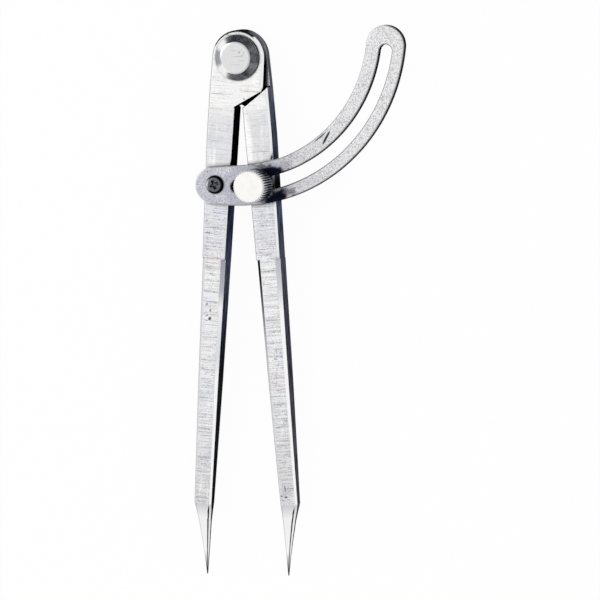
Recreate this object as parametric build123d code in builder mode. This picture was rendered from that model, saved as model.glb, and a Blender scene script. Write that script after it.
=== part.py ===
from build123d import *
from math import acos, cos, degrees, radians, sin, sqrt
import os

# Firm-joint wing divider, lying on its back, seen from above with the head towards +Y.
# Origin: the pivot axis, on the plane that the rear joint collar rests on. Millimetres.

# Legs
reach = 200.0              # pivot to point
opening = 9.35             # angle between the two inner edges as the divider lies
leg_depth = 8.0            # front face to rear face at the head
head_radius = 10.5
leg_width = 10.75          # from the shoulder to where the taper starts
shoulder_station = 12.3    # outer end of the shoulder, below the pivot
shoulder_root = 19.4       # inner end of the shoulder, below the pivot
shoulder_gap = 0.15        # how far the leaf ends short of the other leg's shoulder
taper_station = 30.0
inner_gap = 0.1            # each inner edge stands this far off the line through the pivot
lap_gap = 0.05             # each leaf stands this far off the lap plane
rim_bevel = 0.8            # round the head and down the outer edges
edge_break = 0.3           # on the other edges

# Lower leg: bevelled on its front corners from the stop to the neck
stop_station = 78.0
stop_width = 9.4
stop_depth = leg_depth
stop_bevel = 1.5
middle_station = 125.0
middle_width = 8.2
middle_depth = 7.1
middle_bevel = 1.1
neck_station = 172.5
neck_width = 6.95
neck_depth = 4.4
neck_bevel = 0.7
rear_bevel = 0.4           # on the rear corners

# Points: ground from the neck's section to round, with the inner side straight
tip_size = 0.4
point_width_fall = 1.15    # over 1: the width falls fastest at the root
point_depth_fall = 0.8     # under 1: the depth falls fastest at the tip
point_roundness = 0.96     # corner radius, as a share of half the section's smaller side
point_steps = 4

# Pivot joint: a headed rivet, its rear end spread into a collar
boss_base_radius = 8.8
boss_face_radius = 5.95
boss_height = 3.0
boss_land = 0.8            # straight rim under the cone
boss_edge = 0.3
rivet_radius = 3.0
peen_radius = 3.8
peen_depth = 0.9

# Wing: arcs about one centre, and a round lobe at the wing screw
wing_pin_inset = 4.95      # wing screw, out from the left leg's inner edge
wing_pin_station = 49.2    # and below the pivot
clamp_pin_inset = 4.7      # clamp screw, out from the right leg's inner edge
clamp_pin_station = 49.1
wing_thickness = 2.5
wing_inner_radius = 53.4
wing_outer_radius = 69.0
wing_turn = 91.6           # degrees from the wing screw round to the centre of the far end
lobe_radius = 6.9
lobe_turn = -1.15          # the lobe's centre lies just past the wing screw
slot_radius = 61.6
slot_width = 5.0
slot_start = 8.4           # degrees round from the wing screw
slot_end = 89.6
wing_lag = 0.3             # degrees that the wing hangs back from the clamp screw's line
wing_bevel = 0.55
wing_rear_bevel = 0.2

# Wing screw
screw_head_radius = 3.5
screw_head_height = 1.3
screw_head_edge = 0.6
screw_shoulder_radius = 2.5
screw_thread_radius = 2.0
screw_end_gap = 1.0        # screw end to the leg's rear face
cross_length = 4.2
cross_width = 1.0
cross_depth = 1.0
cross_taper = 12.0

# Clamp screw and washer
knob_radius = 6.5
knob_height = 10.0
knob_bevel = 0.7
knurl_count = 40
knurl_depth = 0.4
clamp_neck_radius = 1.7    # relieved, so that it clears the slot's walls
clamp_thread_radius = 2.0
clamp_neck_sink = 1.9      # how far the neck reaches below the leg's front face
washer_radius = 5.5
washer_hole_radius = 2.1
washer_thickness = 1.0
washer_bevel = 0.15

# Fits
turning_fit = 0.05         # radial clearance where something turns
fixed_fit = 0.02           # radial clearance where nothing turns
seat_gap = 0.05            # under the screw heads and the washer
wing_gap = 0.1             # between the wing and the legs

# Heights above the resting plane
rear_face = boss_height
lap_height = rear_face + leg_depth / 2
front_face = rear_face + leg_depth
wing_rear = front_face + wing_gap
wing_front = wing_rear + wing_thickness
washer_rear = wing_front + seat_gap
washer_front = washer_rear + washer_thickness
knob_rear = washer_front + seat_gap
knob_front = knob_rear + knob_height
screw_head_rear = wing_front + seat_gap
screw_head_front = screw_head_rear + screw_head_height


def turned(angle, x, y):
    """A point of a leg's own frame, once the leg has turned about the pivot."""
    swing = radians(angle)
    return (x * cos(swing) - y * sin(swing), x * sin(swing) + y * cos(swing))


def leg_plane(angle, side):
    """The lap plane of a leg: x runs across its inner edge, y runs up to the pivot."""
    across = Vector(*turned(angle, side, 0))
    return Plane(origin=(0, 0, lap_height), x_dir=across, z_dir=(0, 0, side))


def section_plane(blank, station):
    """A plane across a leg, at a distance below the pivot, looking towards the point."""
    middle = blank.from_local_coords(Vector(0, -station, 0))
    return Plane(origin=middle, x_dir=blank.x_dir, z_dir=-blank.y_dir)


def bevelled_section(blank, station, width, depth, bevel):
    """A leg's section below the stop, with its front corners bevelled more than its rear ones."""
    towards_front = Axis((0, 0, 0), (0, blank.z_dir.Z, 0))
    with BuildSketch(section_plane(blank, station)) as section:
        with Locations((-(width + inner_gap) / 2, 0)):
            Rectangle(width - inner_gap, depth)
        chamfer(section.vertices().sort_by(towards_front)[-2:], bevel)
        chamfer(section.vertices().sort_by(towards_front)[:2], rear_bevel)
    return section.sketch


def rounded_section(blank, left):
    """A section of the point, at a share of its length that is left before the tip."""
    station = reach - left * (reach - neck_station)
    width = tip_size + (neck_width - inner_gap - tip_size) * left**point_width_fall
    depth = tip_size + (neck_depth - tip_size) * left**point_depth_fall
    with BuildSketch(section_plane(blank, station)) as section:
        with Locations((-inner_gap - width / 2, 0)):
            RectangleRounded(width, depth, point_roundness * min(width, depth) / 2)
    return section.sketch


def make_leg(blank, pivot_hole_radius, side_hole_radius, side_hole_inset, side_hole_station):
    """One leg of the pair. The two are alike, turned face to face, but for holes and bevels."""
    outward = Axis(blank.origin, blank.z_dir)

    def on_rim(edge):
        """True for the head's arc and the outer edges."""
        from_middle = abs(blank.to_local_coords(edge.center()).X)
        return edge.geom_type == GeomType.CIRCLE or from_middle > stop_width - 2 * rim_bevel

    def on_inside(edge):
        """True for the inner and shoulder edges. The faces run on level past the stop."""
        above_stop = blank.to_local_coords(edge.center()).Y + stop_station
        return above_stop > edge_break and not on_rim(edge)

    with BuildPart() as leg:
        # The half with the round leaf that laps over the other leg
        with BuildSketch(blank.offset(lap_gap)):
            with BuildLine():
                CenterArc((0, 0), head_radius, 0, 180)
                Polyline(
                    (-head_radius, 0),
                    (-leg_width, -shoulder_station),
                    (-leg_width, -taper_station),
                    (-stop_width, -stop_station),
                    (-inner_gap, -stop_station),
                    (-inner_gap, shoulder_gap - shoulder_root),
                    (leg_width, shoulder_gap - shoulder_station),
                    (head_radius, 0),
                )
            make_face()
        extrude(amount=leg_depth / 2 - lap_gap)
        chamfer(leg.faces().sort_by(outward)[-1].edges().filter_by(on_rim), rim_bevel)
        chamfer(leg.faces().sort_by(outward)[-1].edges().filter_by(on_inside), edge_break)
        # The half that ends at the shoulder
        with BuildSketch(blank.offset(lap_gap)):
            with BuildLine():
                Polyline(
                    (-inner_gap, -shoulder_root),
                    (-leg_width, -shoulder_station),
                    (-leg_width, -taper_station),
                    (-stop_width, -stop_station),
                    (-inner_gap, -stop_station),
                    close=True,
                )
            make_face()
        extrude(amount=-leg_depth / 2 - lap_gap)
        chamfer(leg.faces().sort_by(outward)[0].edges().filter_by(on_rim), rim_bevel)
        chamfer(leg.faces().sort_by(outward)[0].edges().filter_by(on_inside), edge_break)
        # The lower leg, bevelled on its corners and thinner towards the neck
        neck = bevelled_section(blank, neck_station, neck_width, neck_depth, neck_bevel)
        add(bevelled_section(blank, stop_station, stop_width, stop_depth, stop_bevel))
        add(bevelled_section(blank, middle_station, middle_width, middle_depth, middle_bevel))
        add(neck)
        loft(ruled=True)
        # The point, ground from the neck's section to round
        add(neck)
        for step in range(1, point_steps + 1):
            add(rounded_section(blank, 1 - step / point_steps))
        loft(ruled=True)
        # The pivot hole, and the hole for the screw that holds or clamps the wing
        with BuildSketch(blank):
            Circle(pivot_hole_radius)
            with Locations((-side_hole_inset, -side_hole_station)):
                Circle(side_hole_radius)
        extrude(amount=leg_depth, both=True, mode=Mode.SUBTRACT)
    return leg.part


left_angle = -opening / 2
right_angle = opening / 2
wing_pin = turned(left_angle, -wing_pin_inset, -wing_pin_station)
clamp_pin = turned(right_angle, clamp_pin_inset, -clamp_pin_station)

# Left leg: its leaf is the front one, and it carries the wing screw
left_leg = make_leg(
    leg_plane(left_angle, 1),
    rivet_radius + fixed_fit,
    screw_thread_radius + fixed_fit,
    wing_pin_inset,
    wing_pin_station,
)
left_leg.label = "left_leg"

# Right leg: its leaf is the rear one, and the clamp screw is threaded into it
right_leg = make_leg(
    leg_plane(right_angle, -1),
    rivet_radius + turning_fit,
    clamp_thread_radius + turning_fit,
    clamp_pin_inset,
    clamp_pin_station,
)
right_leg.label = "right_leg"

# Joint rivet: conical head in front, shank through both leaves, end spread in the collar
with BuildPart() as joint_rivet:
    with BuildSketch(Plane.XZ):
        with BuildLine():
            Polyline(
                (0, 0),
                (peen_radius, 0),
                (rivet_radius, peen_depth),
                (rivet_radius, front_face),
                (boss_base_radius, front_face),
                (boss_base_radius, front_face + boss_land),
                (boss_face_radius, front_face + boss_height),
                (0, front_face + boss_height),
                close=True,
            )
        make_face()
    revolve(axis=Axis.Z)
    chamfer(joint_rivet.edges().sort_by(Axis.Z)[-1], boss_edge)
joint_rivet.part.label = "joint_rivet"

# Rear joint collar: the same cone, countersunk for the rivet's end
with BuildPart() as joint_collar:
    with BuildSketch(Plane.XZ):
        with BuildLine():
            Polyline(
                (peen_radius + fixed_fit, 0),
                (boss_face_radius, 0),
                (boss_base_radius, boss_height - boss_land),
                (boss_base_radius, boss_height - seat_gap),
                (rivet_radius + fixed_fit, boss_height - seat_gap),
                (rivet_radius + fixed_fit, peen_depth),
                close=True,
            )
        make_face()
    revolve(axis=Axis.Z)
joint_collar.part.label = "joint_collar"

# Wing: a flat plate cut to an arc and slotted for the clamp screw. Its arcs are centred where
# the slot's centre line, round that centre, runs through the wing screw and the clamp screw.
between = Vector(clamp_pin[0] - wing_pin[0], clamp_pin[1] - wing_pin[1])
lean = degrees(acos(between.length / 2 / slot_radius))
spoke = (between.normalized() * slot_radius).rotate(Axis.Z, lean - wing_lag)
wing_plane = Plane(origin=Vector(*wing_pin, wing_rear) + spoke, x_dir=-spoke, z_dir=(0, 0, 1))


def around(radius, turn):
    """A point of the wing's own frame, by its radius and its turn from the wing screw."""
    return (radius * cos(radians(turn)), radius * sin(radians(turn)))


end_radius = (wing_outer_radius - wing_inner_radius) / 2
end_centre = around(wing_outer_radius - end_radius, wing_turn)
lobe_distance = wing_outer_radius - lobe_radius
lobe_centre = around(lobe_distance, lobe_turn)
shoulder_turn = lobe_turn + degrees(acos((wing_inner_radius + lobe_radius) / lobe_distance))
lobe_sweep = 180 + lobe_turn - shoulder_turn
slot_line = CenterArc((0, 0), slot_radius, slot_start, slot_end - slot_start)

with BuildPart() as wing:
    with BuildSketch(wing_plane):
        with BuildLine():
            CenterArc((0, 0), wing_outer_radius, lobe_turn, wing_turn - lobe_turn)
            CenterArc(end_centre, end_radius, wing_turn, 180)
            inner_edge = CenterArc((0, 0), wing_inner_radius, shoulder_turn, wing_turn - shoulder_turn)
            lobe_edge = CenterArc(lobe_centre, lobe_radius, shoulder_turn + 180, lobe_sweep)
            Line(inner_edge @ 0, lobe_edge @ 0)
        make_face()
        SlotArc(slot_line, slot_width, mode=Mode.SUBTRACT)
    extrude(amount=wing_thickness)
    chamfer(wing.faces().sort_by(Axis.Z)[-1].edges(), wing_bevel)
    chamfer(wing.faces().sort_by(Axis.Z)[0].edges(), wing_rear_bevel)
    with BuildSketch(wing_plane):
        with Locations((slot_radius, 0)):
            Circle(screw_shoulder_radius + turning_fit)
    extrude(amount=wing_thickness, mode=Mode.SUBTRACT)
wing.part.label = "wing"

# Wing screw: round head with a cross recess, shoulder for the wing, thread in the left leg
pin_plane = Plane(origin=(*wing_pin, 0), x_dir=Vector(*turned(left_angle, 1, 0)), z_dir=(0, 0, 1))
pin_axis = Axis(pin_plane.origin, pin_plane.z_dir)
pin_section = Plane(origin=pin_plane.origin, x_dir=pin_plane.x_dir, z_dir=-pin_plane.y_dir)

with BuildPart() as wing_screw:
    with BuildSketch(pin_section):
        with BuildLine():
            Polyline(
                (0, rear_face + screw_end_gap),
                (screw_thread_radius, rear_face + screw_end_gap),
                (screw_thread_radius, front_face),
                (screw_shoulder_radius, front_face),
                (screw_shoulder_radius, screw_head_rear),
                (screw_head_radius, screw_head_rear),
                (screw_head_radius, screw_head_front),
                (0, screw_head_front),
                close=True,
            )
        make_face()
    revolve(axis=pin_axis)
    chamfer(wing_screw.edges().sort_by(Axis.Z)[-1], screw_head_edge)
    with BuildSketch(pin_plane.offset(screw_head_front)):
        Rectangle(cross_length, cross_width)
        Rectangle(cross_width, cross_length)
    extrude(amount=-cross_depth, taper=cross_taper, mode=Mode.SUBTRACT)
wing_screw.part.label = "wing_screw"

# Clamp washer: loose on the clamp screw's neck, it bridges the slot
clamp_plane = Plane(origin=(*clamp_pin, 0), x_dir=Vector(*turned(right_angle, 1, 0)), z_dir=(0, 0, 1))
clamp_axis = Axis(clamp_plane.origin, clamp_plane.z_dir)
clamp_section = Plane(origin=clamp_plane.origin, x_dir=clamp_plane.x_dir, z_dir=-clamp_plane.y_dir)

with BuildPart() as clamp_washer:
    with BuildSketch(clamp_plane.offset(washer_rear)):
        Circle(washer_radius)
        Circle(washer_hole_radius, mode=Mode.SUBTRACT)
    extrude(amount=washer_thickness)
    chamfer(clamp_washer.edges().group_by(Axis.Z)[-1].sort_by(SortBy.LENGTH)[-1], washer_bevel)
clamp_washer.part.label = "clamp_washer"

# Clamp screw: straight-knurled head, relieved neck through the slot, thread in the right leg
with BuildPart() as clamp_screw:
    with BuildSketch(clamp_plane.offset(knob_rear)):
        Circle(knob_radius)
        with PolarLocations(knob_radius, knurl_count):
            Rectangle(knurl_depth * sqrt(2), knurl_depth * sqrt(2), rotation=45, mode=Mode.SUBTRACT)
    extrude(amount=knob_height)
    with BuildSketch(clamp_section):
        with BuildLine():
            Polyline(
                (0, knob_rear),
                (knob_radius - knob_bevel, knob_rear),
                (knob_radius, knob_rear + knob_bevel),
                (knob_radius, knob_front - knob_bevel),
                (knob_radius - knob_bevel, knob_front),
                (0, knob_front),
                close=True,
            )
        make_face()
    revolve(axis=clamp_axis, mode=Mode.INTERSECT)
    with BuildSketch(clamp_section):
        with BuildLine():
            Polyline(
                (0, rear_face + screw_end_gap),
                (clamp_thread_radius, rear_face + screw_end_gap),
                (clamp_thread_radius, front_face - clamp_neck_sink),
                (clamp_neck_radius, front_face - clamp_neck_sink),
                (clamp_neck_radius, knob_rear),
                (0, knob_rear),
                close=True,
            )
        make_face()
    revolve(axis=clamp_axis)
clamp_screw.part.label = "clamp_screw"

os.makedirs("parts", exist_ok=True)
export_step(left_leg, "parts/left_leg.step")
export_step(right_leg, "parts/right_leg.step")
export_step(joint_rivet.part, "parts/joint_rivet.step")
export_step(joint_collar.part, "parts/joint_collar.step")
export_step(wing.part, "parts/wing.step")
export_step(wing_screw.part, "parts/wing_screw.step")
export_step(clamp_washer.part, "parts/clamp_washer.step")
export_step(clamp_screw.part, "parts/clamp_screw.step")
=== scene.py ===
import bpy
import math
from mathutils import Matrix, Vector


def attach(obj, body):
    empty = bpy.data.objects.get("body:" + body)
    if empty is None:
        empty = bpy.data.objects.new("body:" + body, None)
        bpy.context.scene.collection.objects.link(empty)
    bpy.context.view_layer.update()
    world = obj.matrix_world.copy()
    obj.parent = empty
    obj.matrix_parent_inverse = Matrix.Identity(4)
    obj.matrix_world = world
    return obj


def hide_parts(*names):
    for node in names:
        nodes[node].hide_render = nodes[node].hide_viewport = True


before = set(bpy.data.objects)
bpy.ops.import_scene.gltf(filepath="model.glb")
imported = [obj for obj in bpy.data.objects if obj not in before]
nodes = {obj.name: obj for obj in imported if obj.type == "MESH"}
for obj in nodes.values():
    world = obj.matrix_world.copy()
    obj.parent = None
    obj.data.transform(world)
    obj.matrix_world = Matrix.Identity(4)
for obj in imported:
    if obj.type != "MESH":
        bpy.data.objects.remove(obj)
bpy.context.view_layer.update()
mm = 0.001
degree = math.pi / 180
print("frame loaded:", ", ".join(sorted(nodes)))

# where things stand in the part's frame
clampPin = (8.6862, -48.5536)                # millimetres
wingPin = (-8.9435, -48.6329)
legTurn = 4.675 * degree                     # of each leg, out from closed

white = (1, 1, 1, 1)


# sRGB hex to the linear values that a socket takes
def linear(hexCode):
    parts = [int(hexCode[i:i + 2], 16) / 255 for i in (1, 3, 5)]
    bent = [p / 12.92 if p <= 0.04045 else ((p + 0.055) / 1.055) ** 2.4 for p in parts]
    return (*bent, 1.0)


def put(tree, kind, inputs=None, **settings):
    node = tree.nodes.new(kind)
    for name, value in settings.items():
        setattr(node, name, value)
    for key, value in (inputs or {}).items():
        if isinstance(value, bpy.types.NodeSocket):
            tree.links.new(value, node.inputs[key])
        else:
            node.inputs[key].default_value = value
    return node


def startMaterial(name):
    material = bpy.data.materials.new(name)
    material.use_nodes = True
    tree = material.node_tree
    tree.nodes.clear()
    return material, tree


# the product of some values: one that comes with a low and a high goes from 0 to 1 between them,
# or from a first to a last value where these follow
def mapValues(tree, *rows):
    product = 1.0
    for value, *ends in rows:
        if ends:
            low, high, first, last = ends if len(ends) == 4 else (*ends, 0.0, 1.0)
            value = put(tree, "ShaderNodeMapRange", {"Value": value, "From Min": low, "From Max": high,
                                                     "To Min": first, "To Max": last}).outputs[0]
        product = put(tree, "ShaderNodeMath", {0: product, 1: value}, operation="MULTIPLY").outputs[0]
    return product


# camera: a long lens from the upper right, as the photograph was taken
view = {
    "imageWidth": 600,                       # pixels, and as high
    "pixelsPerMillimetre": 2.6078,           # at the middle of the object
    "middle": Vector((0.0, -95.0, 10.0)) * mm,
    "middlePixel": (241.3, 304.35),          # where that point lies in the image
    "distance": 4.0,
    "turnRight": 20.0 * degree,
    "turnUp": 4.72 * degree,
    "roll": -0.80 * degree,
    "sensorWidth": 36.0,
    "clip": (0.1, 20.0),
}


def addCamera(v):
    towards = Vector((
        math.sin(v["turnRight"]) * math.cos(v["turnUp"]),
        math.sin(v["turnUp"]),
        math.cos(v["turnRight"]) * math.cos(v["turnUp"]),
    ))
    level = Vector((0, 1, 0)).cross(towards).normalized()
    upright = towards.cross(level)
    right = level * math.cos(v["roll"]) + upright * math.sin(v["roll"])
    up = upright * math.cos(v["roll"]) - level * math.sin(v["roll"])
    scale = v["pixelsPerMillimetre"] / mm
    centrePixel = (v["imageWidth"] - 1) / 2
    aim = v["middle"] + right * (centrePixel - v["middlePixel"][0]) / scale
    aim += up * (v["middlePixel"][1] - centrePixel) / scale
    spot = v["middle"] + towards * v["distance"]
    back = (spot - aim).normalized()
    side = up.cross(back).normalized()
    top = back.cross(side)
    camera = bpy.data.objects.new("camera", bpy.data.cameras.new("camera"))
    camera.data.sensor_width = v["sensorWidth"]
    camera.data.lens = v["sensorWidth"] * v["distance"] / (v["imageWidth"] / scale)
    camera.data.clip_start, camera.data.clip_end = v["clip"]
    turn = Matrix((side, top, back)).transposed().to_4x4()
    camera.matrix_world = Matrix.Translation(spot) @ turn
    bpy.context.scene.collection.objects.link(camera)
    bpy.context.scene.camera = camera


addCamera(view)
print("camera placed")


# studio: a white bench in a white surround, one large softbox at the left, and a dark card
# that hangs round the right, the head and the foot of the bench
studio = {
    "benchHalf": 1.6,
    "benchHex": "#e9e9ea",
    "benchWhite": 0.95,                      # share that is plain white to camera and metal
    "surround": 1.0,                         # what camera and metal see
    "surroundFill": 1.00,                    # what lights the bench
    "softboxSize": 0.7,
    "softboxPower": 3.0,
    "softboxSpot": Vector((-0.85, 0.25, 0.80)),
    "cardRadius": 1.3,
    "cardTurn": 138 * degree,                # how far round it reaches from the right, each way
    "cardLevel": 35 * degree,                # how far round its low edge stays level
    "cardTop": (50 * degree, 22 * degree),   # how high its edges stand, seen from the object:
    "cardLow": (31 * degree, 0 * degree),    # at the right, and at its ends
    "cardSteps": 48,
    "cardHex": "#17181c",
}


# 1 for rays from the camera and for those that metal or glass sends out
def seenRay(tree):
    path = put(tree, "ShaderNodeLightPath").outputs
    seen = path["Is Camera Ray"]
    for kind in ("Is Glossy Ray", "Is Transmission Ray"):
        seen = put(tree, "ShaderNodeMath", {0: seen, 1: path[kind]}, operation="MAXIMUM").outputs[0]
    return seen


# an object that is no part of the tool
def addStage(name, corners, faces, paint):
    mesh = bpy.data.meshes.new(name)
    mesh.from_pydata(corners, [], faces)
    mesh.materials.append(paint)
    piece = bpy.data.objects.new(name, mesh)
    bpy.context.scene.collection.objects.link(piece)
    return piece


def addSurround(s):
    world = bpy.data.worlds.new("surround")
    bpy.context.scene.world = world
    world.use_nodes = True
    tree = world.node_tree
    tree.nodes.clear()
    level = put(tree, "ShaderNodeMapRange",
                {"Value": seenRay(tree), "To Min": s["surroundFill"], "To Max": s["surround"]})
    glow = put(tree, "ShaderNodeBackground", {"Color": white, "Strength": level.outputs[0]})
    put(tree, "ShaderNodeOutputWorld", {"Surface": glow.outputs[0]})


def addBench(s):
    paint, tree = startMaterial("whiteBench")
    share = put(tree, "ShaderNodeMath", {0: seenRay(tree), 1: s["benchWhite"]}, operation="MULTIPLY")
    matt = put(tree, "ShaderNodeBsdfDiffuse", {"Color": linear(s["benchHex"])})
    glow = put(tree, "ShaderNodeEmission", {"Color": white, "Strength": 1.0})
    both = put(tree, "ShaderNodeMixShader", {0: share.outputs[0], 1: matt.outputs[0], 2: glow.outputs[0]})
    put(tree, "ShaderNodeOutputMaterial", {"Surface": both.outputs[0]})
    half = s["benchHalf"]
    corners = [(-half, -half, 0), (half, -half, 0), (half, half, 0), (-half, half, 0)]
    addStage("bench", corners, [(0, 1, 2, 3)], paint)


def addSoftbox(s):
    lamp = bpy.data.lights.new("softbox", "AREA")
    lamp.shape = "SQUARE"
    lamp.size = s["softboxSize"]
    lamp.energy = s["softboxPower"]
    softbox = bpy.data.objects.new("softbox", lamp)
    turn = (view["middle"] - s["softboxSpot"]).to_track_quat("-Z", "Y").to_matrix().to_4x4()
    softbox.matrix_world = Matrix.Translation(s["softboxSpot"]) @ turn
    bpy.context.scene.collection.objects.link(softbox)


# the card is seen only in the metal
def addCard(s):
    corners = []
    for i in range(s["cardSteps"] + 1):
        share = 2 * i / s["cardSteps"] - 1
        a = s["cardTurn"] * share
        x = math.cos(a) * s["cardRadius"]
        y = math.sin(a) * s["cardRadius"] + view["middle"].y
        past = max(0, abs(a) - s["cardLevel"]) / (s["cardTurn"] - s["cardLevel"])
        for atRight, atEnd in (s["cardLow"], s["cardTop"]):
            corners.append((x, y, math.tan(atRight + (atEnd - atRight) * past) * s["cardRadius"]))
    faces = [(2 * i, 2 * i + 1, 2 * i + 3, 2 * i + 2) for i in range(s["cardSteps"])]
    felt, tree = startMaterial("blackFelt")
    matt = put(tree, "ShaderNodeBsdfDiffuse", {"Color": linear(s["cardHex"])})
    put(tree, "ShaderNodeOutputMaterial", {"Surface": matt.outputs[0]})
    card = addStage("darkCard", corners, faces, felt)
    card.visible_camera = False
    card.visible_diffuse = False
    card.visible_shadow = False


addSurround(studio)
addBench(studio)
addSoftbox(studio)
addCard(studio)
bpy.context.scene.view_settings.view_transform = "Standard"
print("studio placed")


# colour that goes from first to second as value goes from low to high
def blendRange(tree, value, low, high, first, second):
    share = put(tree, "ShaderNodeMapRange", {"Value": value, "From Min": low, "From Max": high},
                interpolation_type="SMOOTHSTEP")
    return put(tree, "ShaderNodeMix", {"Factor": share.outputs[0], 6: first, 7: second},
               data_type="RGBA").outputs[2]


# colour from stops of (value, hex), in the order of their values
def blendStops(tree, value, stops):
    first, last = stops[0][0], stops[-1][0]
    share = put(tree, "ShaderNodeMapRange", {"Value": value, "From Min": first, "From Max": last})
    ramp = put(tree, "ShaderNodeValToRGB", {"Fac": share.outputs[0]})
    elements = ramp.color_ramp.elements
    for i, (at, hexCode) in enumerate(stops):
        position = (at - first) / (last - first)
        element = elements[i] if i in (0, 1) else elements.new(position)
        element.position = position
        element.color = linear(hexCode)
    return ramp.outputs["Color"]


# short dark marks, each an ellipse: x, y and length, width in millimetres, direction in degrees, depth
def addMarks(tree, place, rows, softness):
    total = 0.0
    for x, y, length, width, direction, depth in rows:
        own = put(tree, "ShaderNodeMapping",
                  {"Vector": place, "Location": (x * mm, y * mm, 0), "Rotation": (0, 0, direction * degree),
                   "Scale": (length / 2 * mm, width / 2 * mm, 1.0)}, vector_type="TEXTURE").outputs[0]
        far = put(tree, "ShaderNodeVectorMath", {0: own}, operation="LENGTH").outputs["Value"]
        dark = put(tree, "ShaderNodeMapRange",
                   {"Value": far, "From Min": 1.0 - softness, "From Max": 1.0 + softness,
                    "To Min": depth, "To Max": 0.0}, interpolation_type="SMOOTHSTEP").outputs[0]
        total = put(tree, "ShaderNodeMath", {0: dark, 1: total}, operation="MAXIMUM").outputs[0]
    return total


# what every metal here shares
metalLook = {
    "bevelSamples": 6,
    "skySamples": 8,
    "occlusionShade": (0.25, 0.85),                 # share of open sky where the painted shade is full, and where it ends
    "occlusionShadeHex": "#0d0d12",
    "reliefDepth": 0.02,                     # millimetres
    "rimTintHex": "#959599",                 # keeps dark sides dark at a low angle
    "sideToBevel": (0.25, 0.55),             # how level a surface lies, 0 upright and 1 flat,
    "bevelToFace": (0.88, 0.98),             # where one colour passes into the next
}


# how a surface lies: its own frame turned by an angle, the way it faces, where it nears an edge,
# and how open it is to the light
def readSurface(tree, turn, edgeWidth, occlusionShadeReach):
    place = put(tree, "ShaderNodeTexCoord").outputs
    own = put(tree, "ShaderNodeMapping", {"Vector": place["Object"], "Rotation": (0, 0, turn)},
              vector_type="TEXTURE").outputs[0]
    facing = put(tree, "ShaderNodeSeparateXYZ", {0: place["Normal"]}).outputs
    up = put(tree, "ShaderNodeMath", {0: facing["Z"]}, operation="ABSOLUTE").outputs[0]
    rounded = put(tree, "ShaderNodeBevel", {"Radius": edgeWidth * mm},
                  samples=metalLook["bevelSamples"]).outputs[0]
    leaning = put(tree, "ShaderNodeSeparateXYZ", {0: rounded}).outputs
    lean = put(tree, "ShaderNodeMath", {0: leaning["Z"]}, operation="ABSOLUTE").outputs[0]
    sky = put(tree, "ShaderNodeAmbientOcclusion", {"Distance": occlusionShadeReach * mm},
              samples=metalLook["skySamples"]).outputs["AO"]
    return {"place": place["Object"], "own": own, "right": facing["X"], "head": facing["Y"], "up": up,
            "rounded": rounded, "lean": lean, "slant": leaning["X"], "open": sky}


# how level a surface lies once its edges are rounded over this width
def readWideLean(tree, width):
    wide = put(tree, "ShaderNodeBevel", {"Radius": width * mm}, samples=metalLook["bevelSamples"]).outputs[0]
    return put(tree, "ShaderNodeSeparateXYZ", {0: wide}).outputs["Z"]


# how much an edge is rubbed and carries a painted highlight: where rounding turns it, broken up by a noise
# and left out by a mask
def readWornAndLit(tree, surface, noise, kept):
    turned = put(tree, "ShaderNodeMath", {0: surface["lean"], 1: surface["up"]},
                 operation="SUBTRACT").outputs[0]
    turned = put(tree, "ShaderNodeMath", {0: turned}, operation="ABSOLUTE").outputs[0]
    return mapValues(tree, (turned,), (noise,), (kept,))


def addMetal(tree, surface, colour, rough, height, relief):
    # painted shade where other parts close the surface in
    unshaded = mapValues(tree, (surface["open"], *metalLook["occlusionShade"]))
    colour = put(tree, "ShaderNodeMix", {"Factor": unshaded, 6: linear(metalLook["occlusionShadeHex"]), 7: colour},
                 data_type="RGBA").outputs[2]
    ridges = put(tree, "ShaderNodeBump",
                 {"Height": height, "Strength": relief, "Distance": metalLook["reliefDepth"] * mm,
                  "Normal": surface["rounded"]})
    metal = put(tree, "ShaderNodeBsdfPrincipled",
                {"Base Color": colour, "Metallic": 1.0, "Roughness": rough,
                 "Specular Tint": linear(metalLook["rimTintHex"]), "Normal": ridges.outputs[0]})
    put(tree, "ShaderNodeOutputMaterial", {"Surface": metal.outputs[0]})
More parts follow.
